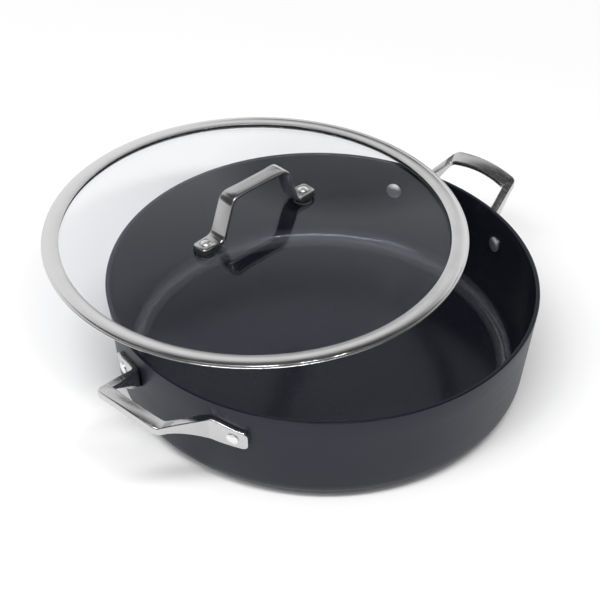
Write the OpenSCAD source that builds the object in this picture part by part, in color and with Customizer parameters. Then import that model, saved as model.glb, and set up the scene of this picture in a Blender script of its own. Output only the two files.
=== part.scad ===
// Saute pan with two side handles and a banded glass lid, set askew on the rim.
// The origin is the middle of the pan's underside. X runs through both side handles.

/* [Pan] */
// Outer diameter of the pan at the rim
pan_rim_d = 316; // [290:1:340]
// Outer diameter that the straight wall would reach at the table
pan_base_d = 301; // [280:1:312]
// Height from the table to the rim
pan_h = 78.8; // [72:0.2:95]
// Thickness of the wall, square to its face
wall_t = 3.1; // [2.4:0.1:4]
// Thickness of the floor
floor_t = 4.5; // [3:0.1:7]
// Outer radius between the wall and the base
corner_r = 16; // [10:0.5:20]
// Inner radius between the wall and the floor
inner_corner_r = 14; // [8:0.5:18]
// Flat broken on both edges of the rim
rim_edge = 0.5; // [0.2:0.1:0.9]

/* [Side handles] */
// Distance from the rim to the outer edge of the grip, at its corners
handle_reach = 39.5; // [34:0.1:46]
// Length of the grip's outer edge, corner to corner
grip_l = 58; // [52:0.5:66]
// Length of the finger opening beside the grip
opening_l = 49.5; // [44:0.5:54]
// Width of the grip at its corners
grip_w = 11.8; // [9:0.1:13]
// How far the outer edge of the grip bows outwards
grip_bow = 2; // [0:0.1:4]
// How far the opening's edge at the grip bows outwards
opening_bow = 2.6; // [0:0.1:4]
// Height of the grip's outer corners above the rim
grip_above = 0; // [-4:0.1:3]
// How far the grip arches up in its middle
grip_arch = 3; // [0:0.1:4]
// How much lower the grip's inner edge is than its outer edge
grip_tilt = 2.4; // [0:0.1:4]
// Thickness of the grip at its outer edge
grip_t = 6.4; // [5:0.1:7]
// Angle of a leg's outer side to the handle's own line
leg_angle = 11.5; // [8:0.5:20]
// Angle of a leg's inner side
leg_inner_angle = 12; // [8:0.5:20]
// Radius of the grip's outer corners
grip_corner_r = 4.5; // [3:0.5:7]
// Radius of the opening's corners at the grip
opening_corner_r = 2.5; // [1.5:0.5:4]
// How far the top of a leg lies below the rim where it leaves the wall
leg_drop = 13; // [11:0.1:18]
// Height of a leg where it leaves the wall
leg_h = 20; // [16:0.5:24]
// Thickness of the pad that lies on the wall
pad_t = 4.2; // [2.4:0.1:5]
// Height of the pad at its far end
pad_tip_h = 16; // [14:0.5:18]
// Distance from the rivet's middle to the pad's far end
pad_beyond = 11; // [8.5:0.5:14]
// Rounding of the pad's far end
pad_tip_r = 4.5; // [3:0.5:6]
// Rounding along the edges of the casting
handle_edge_r = 1.1; // [0.6:0.1:1.4]

/* [Side handle rivets] */
// Distance between a handle's two rivets
handle_rivet_pitch = 103; // [98:0.5:110]
// How far the rivets lie below the rim
handle_rivet_drop = 24.2; // [22:0.1:27]
// Diameter of the rivet's shank
rivet_d = 6.4; // [5:0.1:7]
// Diameter of the domed head inside the pan
inner_head_d = 12; // [10:0.5:14]
// Height of the domed head inside the pan
inner_head_h = 2.2; // [1.5:0.1:3]
// Diameter of the head on the handle's pad
outer_head_d = 9; // [8:0.5:10]
// Height of the head on the handle's pad
outer_head_h = 1.8; // [1.2:0.1:2.5]

/* [Lid band] */
// How far the band's lip overhangs the pan's rim when the lid is on
band_over = 1.9; // [0.5:0.1:4]
// How far the lip stands out past the upper fold
lip_out = 1.7; // [0.8:0.1:2.5]
// Width of the band's top from its inner edge to the edge of the upper fold
band_w = 11.3; // [9.5:0.1:14]
// Width over which the top rolls down to that edge
roll_w = 4.6; // [2:0.1:6]
// How far it rolls down
roll_h = 0.8; // [0.5:0.1:1]
// Thickness of the band's sheet steel
band_s = 0.6; // [0.5:0.1:1]
// Thickness of the brim that rests on the rim: upper fold, groove and lip
brim_t = 2.1; // [1.9:0.1:3.6]
// Play between the band's channel and the inside of the rim
lid_play = 0.8; // [0.5:0.1:1.2]
// Thickness of the rubber seal round the glass
seal_t = 0.5; // [0.4:0.1:0.8]

/* [Lid glass] */
// Thickness of the glass
glass_t = 3.6; // [3.2:0.1:4.4]
// Rise of the dome from the band to the middle
dome_rise = 9.5; // [6:0.5:14]

/* [Lid handle] */
// Distance between the handle's two rivets
lid_rivet_pitch = 99.5; // [94:0.5:106]
// Width of the strap at its lower bends
strap_w = 14.6; // [13:0.1:16]
// Width of the strap in the middle of the grip
strap_grip_w = 12; // [11:0.1:15]
// Thickness of the strap
strap_t = 3; // [2.4:0.1:3.6]
// Height from the top of the feet to the top of the grip
strap_rise = 32.5; // [28:0.5:38]
// Length of the grip's top, corner to corner
strap_grip_l = 54; // [48:1:58]
// Distance from the rivet to the leg, along the foot
foot_in = 12; // [11:0.5:14]
// Distance from the rivet to the end of the foot
foot_out = 7.3; // [6.5:0.1:10]
// Width of a foot at its end
foot_end_w = 12.3; // [11:0.1:15]
// Inner radius of the strap's bends
strap_bend_r = 6; // [3:0.5:7]
// Cut at the corners of the feet
foot_chamfer = 1.2; // [0.6:0.1:3]
// Thickness of the black pad under a foot, at the rivet
foot_pad_t = 1.6; // [1.3:0.1:2.5]
// How far that pad shows round the foot
foot_pad_show = 0.4; // [0:0.1:0.8]

/* [Lid handle rivets] */
// Diameter of the shank
lid_rivet_d = 5; // [4:0.1:6]
// Diameter of the domed head
lid_head_d = 7.2; // [6.8:0.1:8]
// Height of the domed head
lid_head_h = 1.8; // [1.2:0.1:2.5]
// Wall of the sleeve that keeps the rivet off the glass
bush_t = 1; // [0.7:0.1:1.5]
// Thickness of the rubber washer under the glass
under_pad_t = 1.5; // [1.2:0.1:2.5]
// Diameter of the washers under the glass
washer_d = 14; // [12.5:0.5:17]
// Thickness of the steel washer under the glass
washer_t = 1; // [0.8:0.1:1.6]
// Height of the head that closes the rivet below
lid_tail_h = 1.2; // [0.8:0.1:2]

/* [Place of the lid] */
// How far the lid is pushed off the pan's middle
lid_shift = 69.4; // [60:0.1:80]
// Direction of that push, from X towards Y
lid_shift_angle = 88.3; // [80:0.1:100]
// Lean of the lid towards the side that it is pushed to
lid_lean = 1.1; // [0:0.1:1.5]
// Turn of the lid's handle, from X towards Y
lid_turn = -3.4; // [-30:0.1:30]

/* [Fits] */
// Gap between the lid and the rim that it rests on
lid_gap = 0.3; // [0.2:0.05:0.6]
// Gap between pieces that are riveted or clamped together
seat = 0.05; // [0.02:0.01:0.1]
// Gap round a rivet's shank
shank_play = 0.1; // [0.05:0.05:0.2]

/* [Hidden] */

// Segments on the big turned faces, on rivets and on small rounds
fine_fn = 240;
dome_fn = 1440;
rivet_fn = 48;
// Share of a rivet head that is its upright side
head_side_share = 0.3;
// Overlap of joined solids, and overshoot of cuts
lap = 0.2;
over = 2;

// Colours
anodised = "#41444b";
brushed_steel = "#b9b9b9";
bright_steel = "#cfd0d2";
clear_glass = "#dfe6e6";
black_rubber = "#1c1c1e";

// Pan: the wall leans outwards by wall_lean
rim_r = pan_rim_d / 2;
base_r = pan_base_d / 2;
wall_lean = atan((rim_r - base_r) / pan_h);
wall_t_level = wall_t / cos(wall_lean);
rim_inner_r = rim_r - wall_t_level;
floor_wall_r = wall_r(floor_t) - wall_t_level;

// Side handles: rivet height, rivet angle seen from the pan's middle, outline of the grip
handle_rivet_z = pan_h - handle_rivet_drop;
pad_r = wall_r(handle_rivet_z) + seat;
handle_rivet_az = asin(handle_rivet_pitch / 2 / pad_r);
pad_tip_az = handle_rivet_az + pad_beyond / pad_r * 180 / PI;
grip_out = rim_r + handle_reach;
leg_root = pad_r + pad_t;
leg_top = pan_h - leg_drop;
leg_low = leg_top - leg_h;
grip_top = pan_h + grip_above;
grip_low = grip_top - grip_t;
tip_az_span = pad_tip_r / pad_r * 180 / PI;

// Side handles: round of the pad's back edges, bends between pad and leg
pad_back_edge_r = 0.4;
root_bend_r = 4;
root_back_r = 1.5;
// The pad sits a little low on its rivet, a leg bulges up a little, its lower edge rises steeply
// at first, and on its inner side that edge starts higher
pad_low_side = 0.6;
leg_bulge = 0.2;
low_edge_power = 1.55;
inner_low_rise = 6;
// Shares of a leg over which the inner lower edge comes level, and the back edges get their round
inner_low_share = 0.67;
back_edge_share = 0.33;
// Largest share of a section that a round may take
edge_room_share = 0.45;

// Side handles: stations round the pad's tip, on the pad, round the bend, on the leg, round the
// corner and on half the grip, and steps round each edge
tip_steps = 5;
pad_steps = 5;
bend_steps = 5;
leg_steps = 7;
corner_steps = 6;
grip_steps = 5;
edge_steps = 4;
pad_end = tip_steps + pad_steps;

// Lid: the groove between the band's fold and its lip, steps of the roll and of the lip, steps
// round each bend of the strap, and along the glass where the pads follow it
groove_h = 0.25;
groove_depth = 0.6;
roll_steps = 8;
strap_bend_steps = 8;
dome_steps = 12;

// Lid, in its own frame: z is 0 at the band's lowest face, and the dome's middle is on the z axis
band_r = rim_r + band_over;
fold_r = band_r - lip_out;
band_inner_r = fold_r - band_w;
band_h = glass_t + 2 * seal_t + 2 * band_s;
channel_r = rim_inner_r - lid_play;
glass_r = channel_r - band_s - seal_t - seat;
glass_edge_z = band_s + seal_t;
glass_edge_top = glass_edge_z + glass_t;
dome_r = (band_inner_r * band_inner_r + dome_rise * dome_rise) / (2 * dome_rise);
lid_rivet_x = lid_rivet_pitch / 2;
foot_z = dome_z(lid_rivet_x) + foot_pad_t;
under_z = dome_z(lid_rivet_x) - glass_t - under_pad_t;
bush_d = lid_rivet_d + 2 * shank_play + 2 * bush_t;
foot_end_x = lid_rivet_x + foot_out;
foot_bend_x = lid_rivet_x - foot_in;

// The lid rests where its channel crosses the rim, at this distance from the pan's middle
return_r = band_inner_r + band_s;
rest_at = (rim_r * rim_r - return_r * return_r + lid_shift * lid_shift) / (2 * lid_shift);
lid_z = pan_h + lid_gap - (lid_shift - rest_at) * tan(lid_lean);

// Outer radius of the pan's wall at a height
function wall_r(z) = base_r + z * tan(wall_lean);

// Height of the glass's top face at a distance from the lid's middle
function dome_z(r) = glass_edge_top + dome_rise - dome_r + sqrt(dome_r * dome_r - r * r);

function smooth(u) = u <= 0 ? 0 : u >= 1 ? 1 : u * u * (3 - 2 * u);
function mix(a, b, u) = a + (b - a) * u;
function heading(a) = [cos(a), sin(a)];

// A turned vessel shape: straight wall from low_r up to top_r, with a true arc to its flat bottom
module vessel_profile(low_r, top_r, height, round_r) {
    lean = atan((top_r - low_r) / height);
    round_x = low_r - round_r * (1 - sin(lean)) / cos(lean);
    polygon([
        [0, 0], [round_x, 0], [round_x + round_r * cos(lean), round_r * (1 - sin(lean))],
        [top_r, height], [0, height]
    ]);
    translate([round_x, round_r]) circle(r = round_r, $fn = fine_fn);
}

// Places a child on the wall at an angle round the pan, its z axis straight out of the wall
module at_wall(az) {
    rotate(az)
    translate([wall_r(handle_rivet_z), 0, handle_rivet_z])
    rotate([0, 90 + wall_lean, 0])
    children();
}

module pan_body() {
    cavity_h = pan_h - floor_t;
    rim_cut = rim_edge + over;
    color(anodised) difference() {
        rotate_extrude($fn = fine_fn) difference() {
            vessel_profile(base_r, rim_r, pan_h, corner_r);
            translate([0, floor_t])
                vessel_profile(floor_wall_r, floor_wall_r + (cavity_h + over) * tan(wall_lean),
                    cavity_h + over, inner_corner_r);
            // Broken edges of the rim
            translate([rim_r - rim_edge, pan_h]) rotate(-45) square(rim_cut);
            translate([rim_inner_r + rim_edge, pan_h]) rotate(135) square(rim_cut);
            translate([-pan_rim_d, -over]) square([pan_rim_d, pan_h + 2 * over]);
        }
        for (side = [0, 180], end = [-1, 1])
            at_wall(side + end * handle_rivet_az)
                translate([0, 0, -wall_t - over])
                    cylinder(d = rivet_d + 2 * shank_play, h = wall_t + 2 * over, $fn = rivet_fn);
    }
}

// Share of the way from a grip corner to the grip's middle, 0 on the legs and 1 in the middle
function grip_share(y, half_l) = max(0, 1 - pow(y / half_l, 2));

// One side of a half handle seen from above: along the wall, round the bend, down the leg,
// round the grip's corner and to the middle of the bowed grip
function rail(wall_side_r, bend_r, corner, angle, corner_round, bow) =
    let (
        run = heading(-angle),
        left = heading(90 - angle),
        start = corner + bend_r * left,
        along = start * run,
        reach = wall_side_r + bend_r,
        bend_c = start + (sqrt(along * along - start * start + reach * reach) - along) * run,
        bend_az = atan2(bend_c.y, bend_c.x),
        turn = 90 - angle,
        leg_end = corner - corner_round * tan(turn / 2) * run,
        corner_c = leg_end - corner_round * left,
        leg_start = bend_c - bend_r * left,
        path = concat(
            [for (az = pad_stations(bend_az)) wall_side_r * heading(az)],
            [for (i = [1:bend_steps]) bend_c
                - bend_r * heading(mix(bend_az, 90 - angle, i / bend_steps))],
            [for (i = [1:leg_steps]) mix(leg_start, leg_end, i / leg_steps)],
            [for (i = [1:corner_steps]) corner_c
                + corner_round * heading(mix(90 - angle, 0, i / corner_steps))],
            [for (i = [1:grip_steps]) [corner.x, corner_c.y * (1 - i / grip_steps)]]
        )
    )
    [for (p = path) [p.x + bow * grip_share(p.y, corner.y), p.y]];

// Angles of the stations on the pad, closer together round its tip
function pad_stations(bend_az) = concat(
    [for (i = [0:tip_steps]) pad_tip_az - tip_az_span * (1 - cos(90 * i / tip_steps))],
    [for (i = [1:pad_steps]) mix(pad_tip_az - tip_az_span, bend_az, i / pad_steps)]
);

outer_rail = rail(leg_root, root_bend_r, [grip_out, grip_l / 2], leg_angle, grip_corner_r, grip_bow);
inner_rail = rail(pad_r, root_bend_r + pad_t + root_back_r, [grip_out - grip_w, opening_l / 2],
    leg_inner_angle, opening_corner_r, opening_bow);

// Share of the way along a leg at a station of a rail, from the wall to the grip's corner
function leg_share(path, corner_x, i) =
    max(0, min(1, (path[i].x - path[pad_end].x) / (corner_x - path[pad_end].x)));
function outer_share(i) = leg_share(outer_rail, grip_out, i);
function inner_share(i) = leg_share(inner_rail, grip_out - grip_w, i);

// Top and bottom of the casting at a station, on the pad and beyond it
function station_arch(i) = grip_arch * grip_share(outer_rail[i].y, grip_l / 2);
function pad_edge(i, tip_side, root_z) =
    mix(handle_rivet_z - pad_low_side + tip_side * pad_tip_h / 2, root_z,
        smooth((i - tip_steps) / pad_steps));
function station_top(i, share) =
    pad_edge(i, 1, leg_top) + station_arch(i)
    + (grip_top - leg_top) * (share + leg_bulge * share * (1 - share));
function station_top_in(i, share) =
    pad_edge(i, 1, leg_top) + station_arch(i) + (grip_top - grip_tilt - leg_top) * share;
function station_low(i, share) =
    pad_edge(i, -1, leg_low) + station_arch(i)
    + (grip_low - leg_low) * (1 - pow(1 - share, low_edge_power));
function low_rise(i, share) =
    inner_low_rise * smooth((i - pad_end) / bend_steps) * (1 - smooth(share / inner_low_share));
function tip_cut(i) = i >= tip_steps ? 0 : pad_tip_r * (1 - sin(90 * i / tip_steps));

// A rounded section between the two rails at one station
function section(i) =
    let (
        p_in = inner_rail[i],
        across = outer_rail[i] - p_in,
        w = norm(across),
        dir = across / w,
        share = outer_share(i),
        lean = tan(wall_lean) * (1 - smooth(share)),
        radial = p_in / norm(p_in),
        top = station_top(i, share) - tip_cut(i),
        top_in = station_top_in(i, inner_share(i)) - tip_cut(i),
        low = station_low(i, share) + tip_cut(i),
        low_in = low + low_rise(i, share),
        room = edge_room_share * min(w, top_in - low_in),
        r_out = min(handle_edge_r, room),
        r_in = min(mix(pad_back_edge_r, handle_edge_r, smooth(share / back_edge_share)), room),
        corners = [
            [w - r_out, top - r_out, 0, r_out], [r_in, top_in - r_in, 90, r_in],
            [r_in, low_in + r_in, 180, r_in], [w - r_out, low + r_out, 270, r_out]
        ]
    )
    [for (c = corners, k = [0:edge_steps])
        let (
            a = c[2] + 90 * k / edge_steps,
            o = c[0] + c[3] * cos(a),
            z = c[1] + c[3] * sin(a),
            q = p_in + dir * o + radial * (z - handle_rivet_z) * lean
        ) [q.x, q.y, z]];

half_sections = [for (i = [0:len(inner_rail) - 1]) section(i)];
last_half = len(half_sections) - 1;
all_sections = concat(half_sections,
    [for (i = [last_half - 1:-1:0]) [for (p = half_sections[i]) [p.x, -p.y, p.z]]]);

// Skin over a list of rings with as many points each
module loft(rings) {
    n = len(rings[0]);
    last = len(rings) - 1;
    polyhedron(
        points = [for (ring = rings, p = ring) p],
        faces = concat(
            [[for (k = [0:n - 1]) k]],
            [for (j = [0:last - 1], k = [0:n - 1]) let (m = (k + 1) % n)
                [j * n + k, (j + 1) * n + k, j * n + m]],
            [for (j = [0:last - 1], k = [0:n - 1]) let (m = (k + 1) % n)
                [j * n + m, (j + 1) * n + k, (j + 1) * n + m]],
            [[for (k = [n - 1:-1:0]) last * n + k]]
        )
    );
}

// The cast handle at the +X side, turned to its place
module side_handle(az) {
    color(brushed_steel) rotate(az) difference() {
        loft(all_sections);
        for (end = [-1, 1])
            at_wall(end * handle_rivet_az)
                translate([0, 0, -over])
                    cylinder(d = rivet_d + 2 * shank_play, h = pad_t + 2 * over, $fn = rivet_fn);
    }
}

// A round head with a flat seat at z 0: a short side, then a dome
module domed_head(d, h) {
    side_h = h * head_side_share;
    cap_h = h - side_h;
    cap_r = (d * d / 4 + cap_h * cap_h) / (2 * cap_h);
    rotate_extrude($fn = rivet_fn) intersection() {
        translate([0, h - cap_r]) circle(r = cap_r, $fn = fine_fn);
        square([d / 2, h]);
    }
}

// A flat head on the hollow side of the wall stands off by this, so that its edge clears
function hollow_sag(r, head_d) = r - sqrt(r * r - head_d * head_d / 4);

module side_rivet(az) {
    inner_z = wall_t + hollow_sag(wall_r(handle_rivet_z) - wall_t, inner_head_d) + seat;
    outer_z = pad_t + 2 * seat;
    color(bright_steel) at_wall(az) {
        translate([0, 0, -inner_z - lap])
            cylinder(d = rivet_d, h = inner_z + outer_z + 2 * lap, $fn = rivet_fn);
        translate([0, 0, outer_z]) domed_head(outer_head_d, outer_head_h);
        translate([0, 0, -inner_z]) mirror([0, 0, 1]) domed_head(inner_head_d, inner_head_h);
    }
}

// Puts a piece of the lid, drawn in the lid's own frame, on the pan
module on_pan() {
    translate([0, 0, lid_z])
    rotate(lid_shift_angle)
    translate([lid_shift, 0, 0])
    rotate([0, lid_lean, 0])
    rotate(lid_turn - lid_shift_angle)
    children();
}

// What lies below the dome's top face, lowered by drop, seen in half section
module dome_region(drop) {
    intersection() {
        translate([0, glass_edge_top + dome_rise - dome_r - drop]) circle(r = dome_r, $fn = dome_fn);
        translate([0, -glass_edge_top - dome_rise])
            square([band_inner_r, 2 * (glass_edge_top + dome_rise)]);
    }
}

// The same in short straight steps, for what lies on the glass beside a foot
module dome_steps_region(drop) {
    reach = foot_end_x + foot_chamfer;
    polygon(concat(
        [for (i = [0:dome_steps]) let (r = reach * i / dome_steps) [r, dome_z(r) - drop]],
        [[reach, 0], [0, 0]]
    ));
}

module lid_glass() {
    color(clear_glass, 0.4) on_pan() difference() {
        rotate_extrude($fn = fine_fn) {
            difference() {
                dome_region(0);
                dome_region(glass_t);
            }
            translate([band_inner_r - lap / 2, glass_edge_z])
                square([glass_r - band_inner_r + lap / 2, glass_t]);
        }
        for (end = [-1, 1])
            translate([end * lid_rivet_x, 0, 0])
                cylinder(d = bush_d + 2 * shank_play, h = glass_edge_top + dome_rise + over,
                    $fn = rivet_fn);
    }
}

module lid_seal() {
    seal_outer_r = channel_r - band_s - seat / 2;
    color(black_rubber) on_pan() rotate_extrude($fn = fine_fn) difference() {
        translate([return_r, band_s + seat / 2])
            square([seal_outer_r - return_r, band_h - 2 * band_s - seat]);
        translate([0, glass_edge_z - seat / 2]) square([glass_r + seat / 2, glass_t + seat]);
    }
}

// Sheet steel rolled round the edge of the glass, with a brim that rests on the rim: the flat top
// rolls down to the upper fold's edge, and the lip stands out below it beyond a narrow groove
function brim_side() =
    let (
        lip_h = brim_t - roll_h - groove_h,
        lip_mid = [band_r - lip_h / 2, band_h - brim_t + lip_h / 2]
    )
    concat(
        [for (i = [0:roll_steps]) let (a = 90 * i / roll_steps)
            [fold_r - roll_w * (1 - sin(a)), band_h - roll_h * (1 - cos(a))]],
        [[fold_r - groove_depth, band_h - roll_h], [fold_r - groove_depth, lip_mid.y + lip_h / 2]],
        [for (i = [0:roll_steps]) lip_mid + lip_h / 2 * heading(90 - 180 * i / roll_steps)]
    );

module lid_band() {
    color(bright_steel) on_pan() rotate_extrude($fn = fine_fn)
        polygon(concat(
            [[band_inner_r, band_h - band_s], [band_inner_r, band_h]],
            brim_side(),
            [
                [channel_r, band_h - brim_t], [channel_r, 0], [return_r, 0], [return_r, band_s],
                [channel_r - band_s, band_s], [channel_r - band_s, band_h - band_s]
            ]
        ));
}

// Half of one side of the strap, from the foot's end to the middle of the grip, raised by rise
// square to the strap, with its two bends as arcs about the same centres on both sides
function strap_side(rise) =
    let (
        run = [strap_grip_l / 2 - foot_bend_x, strap_rise],
        turn = 180 - atan2(run.y, run.x),
        left = [sin(turn), cos(turn)],
        set_back = (strap_bend_r + strap_t / 2) * tan(turn / 2),
        low_z = foot_z + strap_t / 2,
        low_c = [foot_bend_x + set_back, low_z + strap_bend_r + strap_t / 2],
        top_c = [strap_grip_l / 2 - set_back, low_z + strap_rise - strap_bend_r - strap_t / 2],
        low_r = strap_bend_r + strap_t / 2 - rise,
        top_r = strap_bend_r + strap_t / 2 + rise
    )
    concat(
        [[foot_end_x, low_z + rise]],
        [for (i = [0:strap_bend_steps])
            low_c - low_r * heading(90 - turn * i / strap_bend_steps)],
        [for (i = [strap_bend_steps:-1:0])
            top_c + top_r * heading(90 - turn * i / strap_bend_steps)],
        [[0, low_z + strap_rise + rise]]
    );

// End of a foot seen from above, with cut corners, grown by a margin
function foot_end(margin) =
    let (end_x = foot_end_x + margin, side_y = foot_end_w / 2 + margin)
    [
        [end_x - foot_chamfer, -side_y], [end_x, -side_y + foot_chamfer],
        [end_x, side_y - foot_chamfer], [end_x - foot_chamfer, side_y]
    ];

function reverse(points) = [for (i = [len(points) - 1:-1:0]) points[i]];
function both_halves(points) =
    concat(points, [for (i = [len(points) - 2:-1:0]) [-points[i].x, points[i].y]]);

// The strap seen from above: widest at the lower bends, slimmer in the grip and at the feet
function strap_outline() =
    let (
        far_side = [
            [foot_bend_x, strap_w / 2], [strap_grip_l / 4, strap_grip_w / 2],
            [-strap_grip_l / 4, strap_grip_w / 2], [-foot_bend_x, strap_w / 2]
        ],
        right_half = concat(foot_end(0), far_side)
    )
    concat(right_half, [for (p = right_half) -p]);

module lid_handle() {
    color(brushed_steel) on_pan() difference() {
        intersection() {
            rotate([90, 0, 0]) linear_extrude(strap_w, center = true)
                polygon(concat(both_halves(strap_side(strap_t / 2)),
                    reverse(both_halves(strap_side(-strap_t / 2)))));
            linear_extrude(foot_z + strap_rise + 2 * strap_t) polygon(strap_outline());
        }
        for (end = [-1, 1])
            translate([end * lid_rivet_x, 0, foot_z - over])
                cylinder(d = lid_rivet_d + 2 * shank_play, h = strap_t + 2 * over, $fn = rivet_fn);
    }
}

// Black pad between a foot and the domed glass
module lid_pad(end) {
    from_x = foot_bend_x + strap_bend_r / 2;
    side_y = strap_w / 2 + foot_pad_show;
    color(black_rubber) on_pan() mirror([end < 0 ? 1 : 0, 0, 0]) difference() {
        linear_extrude(foot_z - seat)
            polygon(concat([[from_x, -side_y]], foot_end(foot_pad_show), [[from_x, side_y]]));
        rotate_extrude($fn = fine_fn) dome_steps_region(-seat);
        translate([lid_rivet_x, 0, 0])
            cylinder(d = lid_rivet_d + 2 * shank_play, h = foot_z + over, $fn = rivet_fn);
    }
}

module lid_rivet(end) {
    head_z = foot_z + strap_t + seat;
    tail_z = under_z - washer_t - 2 * seat;
    color(bright_steel) on_pan() translate([end * lid_rivet_x, 0, 0]) {
        translate([0, 0, tail_z - lap])
            cylinder(d = lid_rivet_d, h = head_z - tail_z + 2 * lap, $fn = rivet_fn);
        translate([0, 0, head_z]) domed_head(lid_head_d, lid_head_h);
        translate([0, 0, tail_z]) mirror([0, 0, 1]) domed_head(lid_head_d, lid_tail_h);
    }
}

// Sleeve in the hole of the glass, clear of the rubber washer at its higher side
module lid_bush(end) {
    low = dome_z(lid_rivet_x - bush_d / 2) - glass_t;
    top = dome_z(lid_rivet_x + bush_d / 2);
    color(black_rubber) on_pan() translate([end * lid_rivet_x, 0, low]) difference() {
        cylinder(d = bush_d, h = top - low, $fn = rivet_fn);
        translate([0, 0, -over])
            cylinder(d = lid_rivet_d + 2 * shank_play, h = top - low + 2 * over, $fn = rivet_fn);
    }
}

// Rubber washer that follows the hollow side of the glass
module lid_under_pad(end) {
    color(black_rubber) on_pan() intersection() {
        translate([end * lid_rivet_x, 0, under_z]) difference() {
            cylinder(d = washer_d, h = 2 * under_pad_t, $fn = rivet_fn);
            translate([0, 0, -over])
                cylinder(d = lid_rivet_d + 2 * shank_play, h = 2 * under_pad_t + 2 * over, $fn = rivet_fn);
        }
        rotate_extrude($fn = fine_fn) dome_steps_region(glass_t + seat);
    }
}

module lid_washer(end) {
    color(bright_steel) on_pan() translate([end * lid_rivet_x, 0, under_z - washer_t - seat]) difference() {
        cylinder(d = washer_d, h = washer_t, $fn = rivet_fn);
        translate([0, 0, -over])
            cylinder(d = lid_rivet_d + 2 * shank_play, h = washer_t + 2 * over, $fn = rivet_fn);
    }
}

pan_body();
side_handle(0);  // right_side_handle
side_handle(180);  // left_side_handle
side_rivet(-handle_rivet_az);  // right_front_rivet
side_rivet(handle_rivet_az);  // right_back_rivet
side_rivet(180 + handle_rivet_az);  // left_front_rivet
side_rivet(180 - handle_rivet_az);  // left_back_rivet
lid_glass();
lid_seal();
lid_band();
lid_handle();
lid_rivet(1);  // lid_right_rivet
lid_rivet(-1);  // lid_left_rivet
lid_pad(1);  // lid_right_pad
lid_pad(-1);  // lid_left_pad
lid_bush(1);  // lid_right_bush
lid_bush(-1);  // lid_left_bush
lid_under_pad(1);  // lid_right_under_pad
lid_under_pad(-1);  // lid_left_under_pad
lid_washer(1);  // lid_right_washer
lid_washer(-1);  // lid_left_washer
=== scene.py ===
# %% [markdown]
# # Dressing a saute pan and its glass lid
# The solids of this pan were drawn in CAD, and they come in here at their real size, in metres.
# What is left for Blender is everything that the eye reads as finish: spun and brushed metal,
# hard anodising, clear glass, rubber, and the light of a plain white studio.
# The first lines load the solids. They stay where they are, and only get modifiers and materials.

# %% Load the solids
import math
import bpy
from mathutils import Matrix, Vector


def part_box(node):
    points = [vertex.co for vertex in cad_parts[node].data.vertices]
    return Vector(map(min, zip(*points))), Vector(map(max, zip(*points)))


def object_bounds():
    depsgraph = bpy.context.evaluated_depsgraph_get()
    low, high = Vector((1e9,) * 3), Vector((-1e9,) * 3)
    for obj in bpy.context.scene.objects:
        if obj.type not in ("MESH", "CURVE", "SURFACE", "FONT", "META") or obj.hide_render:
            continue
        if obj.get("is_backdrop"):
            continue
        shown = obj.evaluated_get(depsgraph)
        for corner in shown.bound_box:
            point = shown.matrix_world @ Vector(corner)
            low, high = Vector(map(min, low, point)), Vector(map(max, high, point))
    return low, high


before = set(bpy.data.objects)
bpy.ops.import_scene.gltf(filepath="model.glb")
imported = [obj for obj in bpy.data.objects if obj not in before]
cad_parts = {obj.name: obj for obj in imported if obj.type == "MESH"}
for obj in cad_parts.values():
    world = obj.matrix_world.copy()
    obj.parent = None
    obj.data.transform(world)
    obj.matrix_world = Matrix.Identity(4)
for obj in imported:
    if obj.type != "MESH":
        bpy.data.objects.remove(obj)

cad_box = [list(corner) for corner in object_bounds()]

# %% [markdown]
# ## The camera
# A picture can only be matched if the camera stands where the photographer stood. Where the rim,
# the base and both side handles fall in the photo gives the place, the direction and the lens.
# The numbers below were fitted that way once, and are written down as plain vectors: it is easier
# to check three arrows than three angles.

# %% Camera
camera_place = Vector((-0.7457312, -0.6322023, 0.8430563))
camera_right = Vector((0.6697570, -0.7423750, 0.0174652))
camera_up = Vector((0.4567537, 0.4303910, 0.7785497))
camera_back = camera_right.cross(camera_up)

lens = bpy.data.cameras.new("photo_camera")
lens.sensor_width = 36  # both in mm
lens.lens = 102
camera = bpy.data.objects.new("photo_camera", lens)
bpy.context.scene.collection.objects.link(camera)
camera.matrix_world = Matrix((
    (camera_right.x, camera_up.x, camera_back.x, camera_place.x),
    (camera_right.y, camera_up.y, camera_back.y, camera_place.y),
    (camera_right.z, camera_up.z, camera_back.z, camera_place.z),
    (0, 0, 0, 1)))
bpy.context.scene.camera = camera
bpy.context.scene.view_settings.view_transform = "Standard"
print("camera looks down by", round(math.degrees(math.asin(camera_back.z)), 1), "degrees")

# %% [markdown]
# ## Helpers for node materials
# Every finish here is a small tree of nodes. Wiring a tree by hand takes many clicks, so a few
# short functions do it. These four start a material, add a node, do a sum, and move a value to
# another range. A value that is the same all over a surface is set straight on the shader.

# %% Materials, nodes and sums
def start_finish(name, **shader_values):
    """A new material with its tree and its shader; an underscore is a space in a socket's name."""
    material = bpy.data.materials.new(name)
    material.use_nodes = True
    tree = material.node_tree
    shader = tree.nodes["Principled BSDF"]
    for socket, value in shader_values.items():
        shader.inputs[socket.replace("_", " ")].default_value = value
    return material, tree, shader


def add(tree, kind, operation=None, **values):
    """One node. in0, in1 and so on are inputs by number, any other key is an input's name."""
    node = tree.nodes.new(kind)
    if operation:
        node.operation = operation
    for key, value in values.items():
        numbered = key.startswith("in") and key[2:].isdigit()
        socket = node.inputs[int(key[2:]) if numbered else key.replace("_", " ")]
        if isinstance(value, bpy.types.NodeSocket):
            tree.links.new(value, socket)
        else:
            socket.default_value = value
    return node


def maths(tree, operation, *values):
    return add(tree, "ShaderNodeMath", operation,
               **{f"in{i}": v for i, v in enumerate(values)}).outputs[0]


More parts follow.
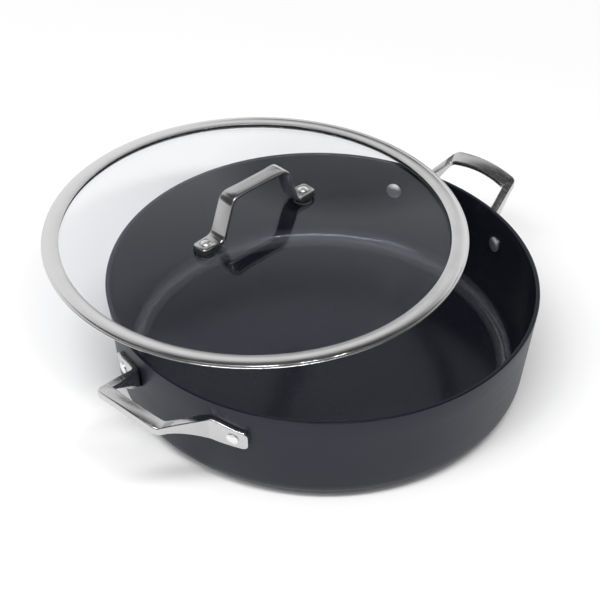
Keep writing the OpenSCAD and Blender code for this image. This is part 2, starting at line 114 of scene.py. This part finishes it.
def in_range(tree, value, low, high, to_low, to_high):
    """low turns into to_low and high into to_high, and the result stays between those two."""
    return add(tree, "ShaderNodeMapRange", Value=value, From_Min=low, From_Max=high,
               To_Min=to_low, To_Max=to_high).outputs[0]

print("helpers for nodes ready")

# %% [markdown]
# ## Coordinates that go round
# A pan is spun and a lid's band is rolled, so their fine lines run in circles. A texture only
# draws circles if it is fed with round coordinates: the distance from the middle, the height, and
# the angle. The angle is scaled down hard, which stretches every speck of noise into a long line.
# The lid is pushed off the pan's middle, so its circles have a centre of their own.

# %% Round coordinates
def on_piece(tree):
    return add(tree, "ShaderNodeTexCoord").outputs["Object"]


def round_coordinates(tree, centre, across, along):
    """The stretched coordinates, then distance, height and the plain place they come from."""
    place = on_piece(tree)
    from_centre = add(tree, "ShaderNodeVectorMath", "SUBTRACT", in0=place, in1=centre).outputs[0]
    x, y, z = add(tree, "ShaderNodeSeparateXYZ", in0=from_centre).outputs
    distance = maths(tree, "SQRT", maths(tree, "ADD", maths(tree, "MULTIPLY", x, x),
                                         maths(tree, "MULTIPLY", y, y)))
    angle = maths(tree, "ARCTAN2", y, x)
    lines = add(tree, "ShaderNodeCombineXYZ",
                X=maths(tree, "MULTIPLY", distance, across),
                Y=maths(tree, "MULTIPLY", z, across),
                Z=maths(tree, "MULTIPLY", angle, along)).outputs[0]
    return lines, distance, z, place

pan_centre = (0, 0, 0)
band_low, band_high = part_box("lid_band")
lid_centre = tuple((band_low + band_high) / 2)
print("the lid's middle is at", [round(c * 1000, 1) for c in lid_centre], "mm")

# %% [markdown]
# ## One pan, two sides
# The aluminium is hard anodised outside, and has a nonstick coat inside, which also runs over the
# top of the rim. The pan is one solid, so one material has to show both. It could be split over
# two material slots, but a mask worked out from the wall's own cone needs no change to the mesh.
# A mask is a number that is 1 where something holds and 0 elsewhere.

# %% Pan: where is the inside
def inside_mask(tree, distance, z):
    """1 on the floor, on the nonstick side of the wall and on the rim, 0 outside."""
    pan_low, pan_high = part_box("pan_body")
    pan_height = pan_high.z
    rim_radius = (pan_high.x - pan_low.x) / 2
    drawn_rim, drawn_base, drawn_height = 0.158, 0.1505, 0.0788  # two radii and the height
    wall_slope = (drawn_rim - drawn_base) / drawn_height
    half_wall, half_floor, rim_skin = 0.0016, 0.0022, 0.0004
    wall_middle = in_range(tree, z, 0, pan_height,
                           rim_radius - wall_slope * pan_height - half_wall,
                           rim_radius - half_wall)
    nearer = maths(tree, "LESS_THAN", distance, wall_middle)
    above_floor = maths(tree, "GREATER_THAN", z, half_floor)
    rim_face = maths(tree, "GREATER_THAN", z, pan_height - rim_skin)
    return maths(tree, "MAXIMUM", maths(tree, "MULTIPLY", nearer, above_floor), rim_face)

print("the mask follows the middle of the wall")

# %% [markdown]
# ## Flakes in the fillet
# The nonstick is full of tiny specks. Where floor and wall meet they show as metal flakes,
# because that is where the real pan has a bright and grainy arc under the lamp. Flakes could be
# modelled one by one, but they are far smaller than a pixel, so a mask on the shader is enough.
# Two masks find them, again from distance and height: the whole round between floor and wall,
# and the brighter specks on its lowest part. The floor's top is 4.5 mm up.

# %% Pan: where floor and wall meet
def fillet_mask(tree, inside, distance, z):
    """1 on the round between floor and wall, 0 on the flat floor and up the wall."""
    flat_ends, round_starts = 0.132, 0.138  # metres from the middle
    round_ends, wall_starts = 0.012, 0.020  # metres up
    off_the_floor = in_range(tree, distance, flat_ends, round_starts, 0, 1)
    below_the_wall = in_range(tree, z, round_ends, wall_starts, 1, 0)
    return maths(tree, "MULTIPLY", inside,
                 maths(tree, "MULTIPLY", off_the_floor, below_the_wall))


def flake_mask(tree, fillet, z, specks):
    all_flakes, no_flakes = 0.0040, 0.0085  # metres up
    no_speck, full_speck = 0.44, 0.62
    lowest_part = maths(tree, "MULTIPLY", fillet,
                        in_range(tree, z, all_flakes, no_flakes, 1, 0))
    return maths(tree, "MULTIPLY", lowest_part,
                 in_range(tree, specks, no_speck, full_speck, 0, 1))

print("the flakes stay on the fillet")

# %% [markdown]
# ## Noise, relief and mixing
# No real surface is even. Noise gives each finish its clouds, specks and grain, and a bump turns
# the same noise into relief that is far too fine to model. A painted picture could do that too,
# but it would have to be laid round each piece. Noise fills space, so it needs no unwrapping.
# Two more helpers mix: one mixes numbers, one mixes colours.

# %% Noise, relief and mixing
def noise(tree, place, scale, detail, **more):
    return add(tree, "ShaderNodeTexNoise", Vector=place, Scale=scale, Detail=detail,
               **more).outputs[0]


def from_noise(tree, value, low, high):
    """Most of a noise lies between 0.3 and 0.7, and that part is spread from low to high."""
    return in_range(tree, value, 0.3, 0.7, low, high)


def relief(tree, shader, height, strength, depth):
    """depth is in metres."""
    bump = add(tree, "ShaderNodeBump", Strength=strength, Distance=depth, Height=height)
    tree.links.new(bump.outputs[0], shader.inputs["Normal"])


def pick(tree, share, first, second):
    """A number: first where share is 0, second where it is 1."""
    return in_range(tree, share, 0, 1, first, second)


def between(tree, share, first, second):
    """A colour: first where share is 0, second where it is 1."""
    mix = tree.nodes.new("ShaderNodeMix")
    mix.data_type = "RGBA"
    tree.links.new(share, mix.inputs[0])
    for socket, colour in ((mix.inputs[6], first), (mix.inputs[7], second)):
        if isinstance(colour, bpy.types.NodeSocket):
            tree.links.new(colour, socket)
        else:
            socket.default_value = (*colour, 1)
    return mix.outputs[2]

print("helpers for textures ready")

# %% [markdown]
# ## Anodising and nonstick
# Anodising grows a hard, nearly matt skin on the aluminium. Here it is a dark blue grey with faint
# clouds and with the rings that spinning left. The nonstick is darker and smoother, with a glint
# in its strongest specks. Colour, roughness and relief are each made twice, once for the outside
# and once for the inside, and the mask picks between them. Only the flakes are metal.

# %% Pan: the finish itself
def anodised_and_nonstick():
    material, tree, shader = start_finish("anodised_and_nonstick", IOR=1.45,
                                          Specular_IOR_Level=0.30,
                                          Specular_Tint=(0.80, 0.84, 1.0, 1))
    lines, distance, z, place = round_coordinates(tree, pan_centre, across=900, along=2.5)
    rings = noise(tree, lines, scale=1.0, detail=3)
    clouds = noise(tree, place, scale=14.0, detail=4)
    specks = noise(tree, place, scale=1500.0, detail=2)
    inside = inside_mask(tree, distance, z)
    fillet = fillet_mask(tree, inside, distance, z)
    flakes = flake_mask(tree, fillet, z, specks)

    anodised = between(tree, clouds, (0.0150, 0.0165, 0.0225), (0.0215, 0.0230, 0.0300))
    glint = in_range(tree, specks, 0.62, 0.80, 0, 1)
    nonstick = between(tree, glint, (0.0070, 0.0075, 0.0115), (0.045, 0.048, 0.057))
    nonstick = between(tree, flakes, nonstick, (0.20, 0.204, 0.215))
    tree.links.new(between(tree, inside, anodised, nonstick), shader.inputs["Base Color"])
    tree.links.new(flakes, shader.inputs["Metallic"])

    rough_out = from_noise(tree, rings, 0.36, 0.46)
    rough_in = pick(tree, fillet, from_noise(tree, specks, 0.17, 0.25), 0.16)
    tree.links.new(pick(tree, inside, rough_out, rough_in), shader.inputs["Roughness"])

    grain = add(tree, "ShaderNodeMix", in0=inside, in2=rings, in3=specks).outputs[0]
    strength = pick(tree, fillet, pick(tree, inside, 0.14, 0.02), 0.12)
    relief(tree, shader, grain, strength, depth=0.00005)
    return material

pan_finish = anodised_and_nonstick()
print("made", pan_finish.name)

# %% [markdown]
# ## Brushed steel
# All steel on this pan is pure metal in the shader. What the eye knows it by is the grain: a noise
# squeezed thin across the brushing, which goes into roughness, a slight change of colour, and a
# shallow bump. The shader has a setting that stretches highlights the same way, but it shows no
# single lines. The metal is `bright` on its best spots, and duller by `worn` on its poorest.

# %% Steel with a grain
def brushed_steel(name, grain_vector, bright, worn, rough, strength):
    material, tree, shader = start_finish(name, Metallic=1.0)
    vector, place = grain_vector(tree)
    grain = noise(tree, vector, scale=1.0, detail=5, Roughness=0.6)
    clouds = noise(tree, place, scale=60.0, detail=4)
    shade = maths(tree, "MULTIPLY", from_noise(tree, grain, 0.5, 1.0),
                  from_noise(tree, clouds, 0.8, 1.0))
    tree.links.new(between(tree, shade, (bright * worn,) * 3, (bright,) * 3),
                   shader.inputs["Base Color"])
    tree.links.new(maths(tree, "ADD", from_noise(tree, grain, *rough),
                         from_noise(tree, clouds, -0.02, 0.03)),
                   shader.inputs["Roughness"])
    relief(tree, shader, grain, strength, depth=0.00004)
    return material

print("steel ready for its grain")

# %% [markdown]
# ## Four steels
# The side handles are cast and then brushed along their length, which is along Y. The lid's handle
# is a bent strap with a finer grain along X. The band is rolled round the glass, so its grain goes
# round with it. Rivets and washers are rougher, brighter, and the same in all directions.

# %% The steels of this pan
def along_axis(stretch):
    """Straight grain: a large scale is across the brushing, a small one is along it."""
    def grain_vector(tree):
        place = on_piece(tree)
        return add(tree, "ShaderNodeMapping", Vector=place, Scale=stretch).outputs[0], place
    return grain_vector


def round_the_lid(tree):
    lines, _, _, place = round_coordinates(tree, lid_centre, across=2200, along=5)
    return lines, place

cast_steel = brushed_steel("cast_steel", along_axis((1400, 90, 1400)),
                           bright=0.60, worn=0.76, rough=(0.16, 0.30), strength=0.30)
strap_steel = brushed_steel("strap_steel", along_axis((70, 1900, 1900)),
                            bright=0.56, worn=0.62, rough=(0.14, 0.26), strength=0.30)
band_steel = brushed_steel("band_steel", round_the_lid,
                           bright=0.72, worn=0.86, rough=(0.12, 0.22), strength=0.20)
rivet_steel = brushed_steel("rivet_steel", along_axis((900, 900, 900)),
                            bright=0.86, worn=0.86, rough=(0.30, 0.42), strength=0.12)
print("made", ", ".join(m.name for m in (cast_steel, strap_steel, band_steel, rivet_steel)))

# %% [markdown]
# ## Glass
# The lid's glass is tempered, clear and 3.6 mm thick, so it is a real solid with two faces that
# bend and reflect light. Its index is set lower than that of real glass, so that it mirrors as
# little as it does in the photo. Glass that bends light also throws bright, noisy patches. So rays
# that only carry light or shadow pass straight through, and the lamps light the pan cleanly.

# %% Glass
def blend(tree, share, first, second):
    """The material shows first where share is 0, and second where it is 1."""
    mix = add(tree, "ShaderNodeMixShader", in0=share, in1=first.outputs[0],
              in2=second.outputs[0])
    tree.links.new(mix.outputs[0], tree.nodes["Material Output"].inputs[0])


def tempered_glass():
    material, tree, shader = start_finish("tempered_glass", Roughness=0.0, IOR=1.34,
                                          Transmission_Weight=1.0,
                                          Specular_Tint=(0.68, 0.74, 0.90, 1),
                                          Base_Color=(0.88, 0.885, 0.90, 1))
    wave = noise(tree, on_piece(tree), scale=22.0, detail=1)
    relief(tree, shader, wave, strength=0.05, depth=0.0004)
    rays = add(tree, "ShaderNodeLightPath").outputs
    only_light = maths(tree, "MAXIMUM", rays["Is Shadow Ray"], rays["Is Diffuse Ray"])
    clear = add(tree, "ShaderNodeBsdfTransparent", Color=(0.92, 0.925, 0.935, 1))
    blend(tree, only_light, shader, clear)
    return material

glass_finish = tempered_glass()
print("made", glass_finish.name)

# %% [markdown]
# ## Rubber
# The seal of the lid and the pads, sleeves and washers round its rivets are black. Pure black
# would look like a hole in the picture, so this rubber is a very dark grey with a soft sheen, and
# the grit of the mould gives it a faint texture.

# %% Rubber
def black_rubber():
    material, tree, shader = start_finish("black_rubber")
    grit = noise(tree, on_piece(tree), scale=1100.0, detail=3)
    tree.links.new(between(tree, grit, (0.012, 0.012, 0.013), (0.026, 0.026, 0.028)),
                   shader.inputs["Base Color"])
    tree.links.new(from_noise(tree, grit, 0.48, 0.62), shader.inputs["Roughness"])
    relief(tree, shader, grit, strength=0.25, depth=0.00005)
    return material

rubber_finish = black_rubber()
print("made", rubber_finish.name)

# %% [markdown]
# ## Giving each piece its finish
# Each solid keeps its shape and gets one finish, by what it is on the real pan. It could be done
# by hand for each piece, but the names tell: side handles are cast, rivets and steel washers are
# rivet steel, four more pieces are listed, and what is left is rubber.

# %% Hand out the finishes
finish_of = {"pan_body": pan_finish, "lid_glass": glass_finish, "lid_band": band_steel,
             "lid_handle": strap_steel}
for name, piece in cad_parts.items():
    if name.endswith("side_handle"):
        finish = cast_steel
    elif "rivet" in name or "washer" in name:
        finish = rivet_steel
    else:
        finish = finish_of.get(name, rubber_finish)
    piece.data.materials.clear()
    piece.data.materials.append(finish)
print("finished", len(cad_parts), "pieces")

# %% [markdown]
# ## Smooth skins
# A CAD surface comes in as many flat facets. Faces that meet at a shallow angle belong to one
# curved skin and should be shaded as one, and a real corner should stay sharp. That could be
# marked by hand, edge by edge. A small tree of geometry nodes does it for every piece by angle.

# %% Smooth where the angle is shallow
def smooth_by_angle(limit):
    tree = bpy.data.node_groups.new("smooth_skin", "GeometryNodeTree")
    tree.interface.new_socket("Geometry", in_out="INPUT", socket_type="NodeSocketGeometry")
    tree.interface.new_socket("Geometry", in_out="OUTPUT", socket_type="NodeSocketGeometry")
    tree.is_modifier = True
    given, result = tree.nodes.new("NodeGroupInput"), tree.nodes.new("NodeGroupOutput")
    faces = tree.nodes.new("GeometryNodeSetShadeSmooth")
    faces.domain = "FACE"
    edges = tree.nodes.new("GeometryNodeSetShadeSmooth")
    edges.domain = "EDGE"
    angle = tree.nodes.new("GeometryNodeInputMeshEdgeAngle")
    shallow = tree.nodes.new("FunctionNodeCompare")
    shallow.data_type, shallow.operation = "FLOAT", "LESS_EQUAL"
    shallow.inputs[1].default_value = limit
    tree.links.new(given.outputs[0], faces.inputs["Geometry"])
    tree.links.new(faces.outputs[0], edges.inputs["Geometry"])
    tree.links.new(angle.outputs["Unsigned Angle"], shallow.inputs[0])
    tree.links.new(shallow.outputs[0], edges.inputs["Shade Smooth"])
    tree.links.new(edges.outputs[0], result.inputs[0])
    return tree

smooth_up_to = 32
skin = smooth_by_angle(math.radians(smooth_up_to))
print("one skin up to", smooth_up_to, "degrees")

# %% [markdown]
# ## Soft edges
# A CAD solid has knife edges, and no real pan has. Light runs along the small round of an edge,
# which is what makes metal look solid. A bevel modifier gives that round without touching the
# solid itself. Before it, a weld joins the corners that the file keeps apart.
# The normals that the file brings are dropped first, since they know nothing of the new round.
# Three pieces get a bevel. The others are round already, or so small or hidden that none shows.

# %% Weld and bevel
weld_within = 0.000002  # metres, as are the rounds
edge_rounds = {"lid_handle": 0.0008, "lid_band": 0.0003, "pan_body": 0.00025}
sharp_angle = math.radians(40)

for name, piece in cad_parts.items():
    if "custom_normal" in piece.data.attributes:
        piece.data.attributes.remove(piece.data.attributes["custom_normal"])
    weld = piece.modifiers.new("weld", "WELD")
    weld.merge_threshold = weld_within
    if name in edge_rounds:
        bevel = piece.modifiers.new("edge_round", "BEVEL")
        bevel.width = edge_rounds[name]
        bevel.segments = 3
        bevel.limit_method = "ANGLE"
        bevel.angle_limit = sharp_angle
        bevel.use_clamp_overlap = True
    piece.modifiers.new("skin", "NODES").node_group = skin
print("rounded the edges of", ", ".join(edge_rounds))

# %% [markdown]
# ## The floor
# The photo was taken on a white sweep, a sheet that curves up behind the object. A curved sheet
# only works from the front. This floor is flat, so it works from all sides: near the pan it is
# plain pale paper that takes shadows, and further out it turns, for the eye, into the white of
# the world, so that no edge is seen.

# %% Floor
sheet_ends, white_starts = 0.40, 0.80  # metres from the pan's middle
reach = 6.0
below_the_pan = 0.0002  # two faces in one place would flicker


def white_sweep():
    material, tree, shader = start_finish("white_sweep", Roughness=0.9, Specular_IOR_Level=0.1)
    fibre = noise(tree, on_piece(tree), scale=300.0, detail=3)
    tree.links.new(between(tree, fibre, (0.925, 0.925, 0.93), (0.945, 0.945, 0.95)),
                   shader.inputs["Base Color"])
    _, distance, _, _ = round_coordinates(tree, pan_centre, across=1, along=1)
    rays = add(tree, "ShaderNodeLightPath").outputs
    seen = maths(tree, "MAXIMUM", rays["Is Camera Ray"],
                 maths(tree, "MAXIMUM", rays["Is Glossy Ray"], rays["Is Transmission Ray"]))
    far_out = maths(tree, "MULTIPLY", seen,
                    in_range(tree, distance, sheet_ends, white_starts, 0, 1))
    white = add(tree, "ShaderNodeEmission", Color=(1, 1, 1, 1), Strength=1.0)
    blend(tree, far_out, shader, white)
    return material

corners = [(x * reach, y * reach, 0) for x, y in ((-1, -1), (1, -1), (1, 1), (-1, 1))]
floor_mesh = bpy.data.meshes.new("floor")
floor_mesh.from_pydata(corners, [], [(0, 1, 2, 3)])
floor_mesh.materials.append(white_sweep())
floor = bpy.data.objects.new("floor", floor_mesh)
floor.location.z = -below_the_pan
bpy.context.scene.collection.objects.link(floor)
floor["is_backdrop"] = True
print("floor of", 2 * reach, "m")

# %% [markdown]
# ## Dark cards
# Steel only shows what it mirrors, and in a room that is white all round it has no edges. A
# photographer hangs dark cards round it for that reason. They could be objects here too, but then
# they would block the lamps. So each card is a round patch of sky with a soft rim, and seven of
# them are multiplied into one value. A card's place is given by two angles: azimuth goes round
# from +X to +Y, and the camera stands at 220, and height is above the horizon.

# %% Cards in the sky
def toward(azimuth, height):
    a, h = math.radians(azimuth), math.radians(height)
    return Vector((math.cos(a) * math.cos(h), math.sin(a) * math.cos(h), math.sin(h)))


def card(sky, looks, azimuth, height, full, none, shade):
    """shade within `full` degrees of the card's middle, 1 where it is `none` degrees or more."""
    facing = add(sky, "ShaderNodeVectorMath", "DOT_PRODUCT", in0=looks,
                 in1=toward(azimuth, height)).outputs["Value"]
    return in_range(sky, facing, math.cos(math.radians(none)), math.cos(math.radians(full)),
                    1.0, shade)

card_list = (
    # azimuth, height, full, none, shade
    (220, 28, 30, 52, 0.06),  # behind the camera
    (38, 25, 5, 9, 0.10),     # low, opposite the camera
    (145, 24, 24, 36, 0.08),  # left
    (313, 30, 24, 38, 0.08),  # right
    (343, 61, 15, 24, 0.08),  # high up beyond the pan: right, straight ahead and left
    (36, 61, 15, 24, 0.08),
    (104, 61, 15, 24, 0.08),
)
world = bpy.data.worlds.new("white_studio")
bpy.context.scene.world = world
world.use_nodes = True
sky = world.node_tree
looks = add(sky, "ShaderNodeTexCoord").outputs["Generated"]
room, *other_cards = [card(sky, looks, *numbers) for numbers in card_list]
for other in other_cards:
    room = maths(sky, "MULTIPLY", room, other)
print("the room has", len(card_list), "dark cards")

# %% [markdown]
# ## The white world
# The background of the photo is pure white, but a world that bright would wash out every shadow.
# So the world answers each kind of ray in its own way. What the eye sees, straight or through the
# glass, is white. Mirrored rays see the room with its cards. The rest is light, and dimmer.

# %% World
lamp_strength = 0.44
rays = add(sky, "ShaderNodeLightPath").outputs
seen = maths(sky, "MAXIMUM", rays["Is Camera Ray"], rays["Is Transmission Ray"])
unseen = pick(sky, rays["Is Glossy Ray"], lamp_strength, room)
background = sky.nodes["Background"]
background.inputs["Color"].default_value = (1, 1, 1, 1)
sky.links.new(pick(sky, seen, unseen, 1.0), background.inputs["Strength"])
print("world: seen at 1, lights at", lamp_strength)

# %% [markdown]
# ## The lamps
# A studio lights a pan with a few large soft lamps. A long one hangs overhead and draws the bright
# arc where the pan's floor meets its wall. It is far enough off the middle that the lid doesn't
# mirror it when seen from above. A smaller one stands to the left, and a lit ceiling keeps the
# shadows light. Those two are hidden from mirrors, or they would glare in the steel and in the
# glass where the photo shows nothing.

# %% Lamps
middle = Vector((0, 0.03, 0.05))


def lamp_at(name, kind, place, power, **settings):
    """A lamp that points at the pan. power is in watts, and for a sun in watts per m2."""
    light = bpy.data.lights.new(name, kind)
    light.energy = power
    for key, value in settings.items():
        setattr(light, key, value)
    lamp = bpy.data.objects.new(name, light)
    lamp.location = place
    lamp.rotation_euler = (Vector(place) - middle).to_track_quat("Z", "Y").to_euler()
    bpy.context.scene.collection.objects.link(lamp)
    return lamp

key = lamp_at("key_lamp", "AREA", (-1.93, 0.33, 2.25), 20, shape="SQUARE", size=1.1)
overhead = lamp_at("overhead_lamp", "AREA", (-0.66, -0.58, 2.07), 30,
                   shape="RECTANGLE", size=1.7, size_y=0.32)
ceiling = lamp_at("ceiling_lamp", "SUN", (-0.2, -0.5, 2.5), 0.35, angle=math.radians(80))
key.visible_glossy = ceiling.visible_glossy = False
print("lamps:", key.name, overhead.name, ceiling.name)

# %% [markdown]
# ## Sizes at the end
# The dressed pan should keep the size of its solids, so both boxes are printed.

# %% Sizes and finish
seen_box = [list(corner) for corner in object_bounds()]
for label, (low, high) in (("cad", cad_box), ("visual", seen_box)):
    print(label, [round((h - l) * 1000, 1) for l, h in zip(low, high)], "mm")
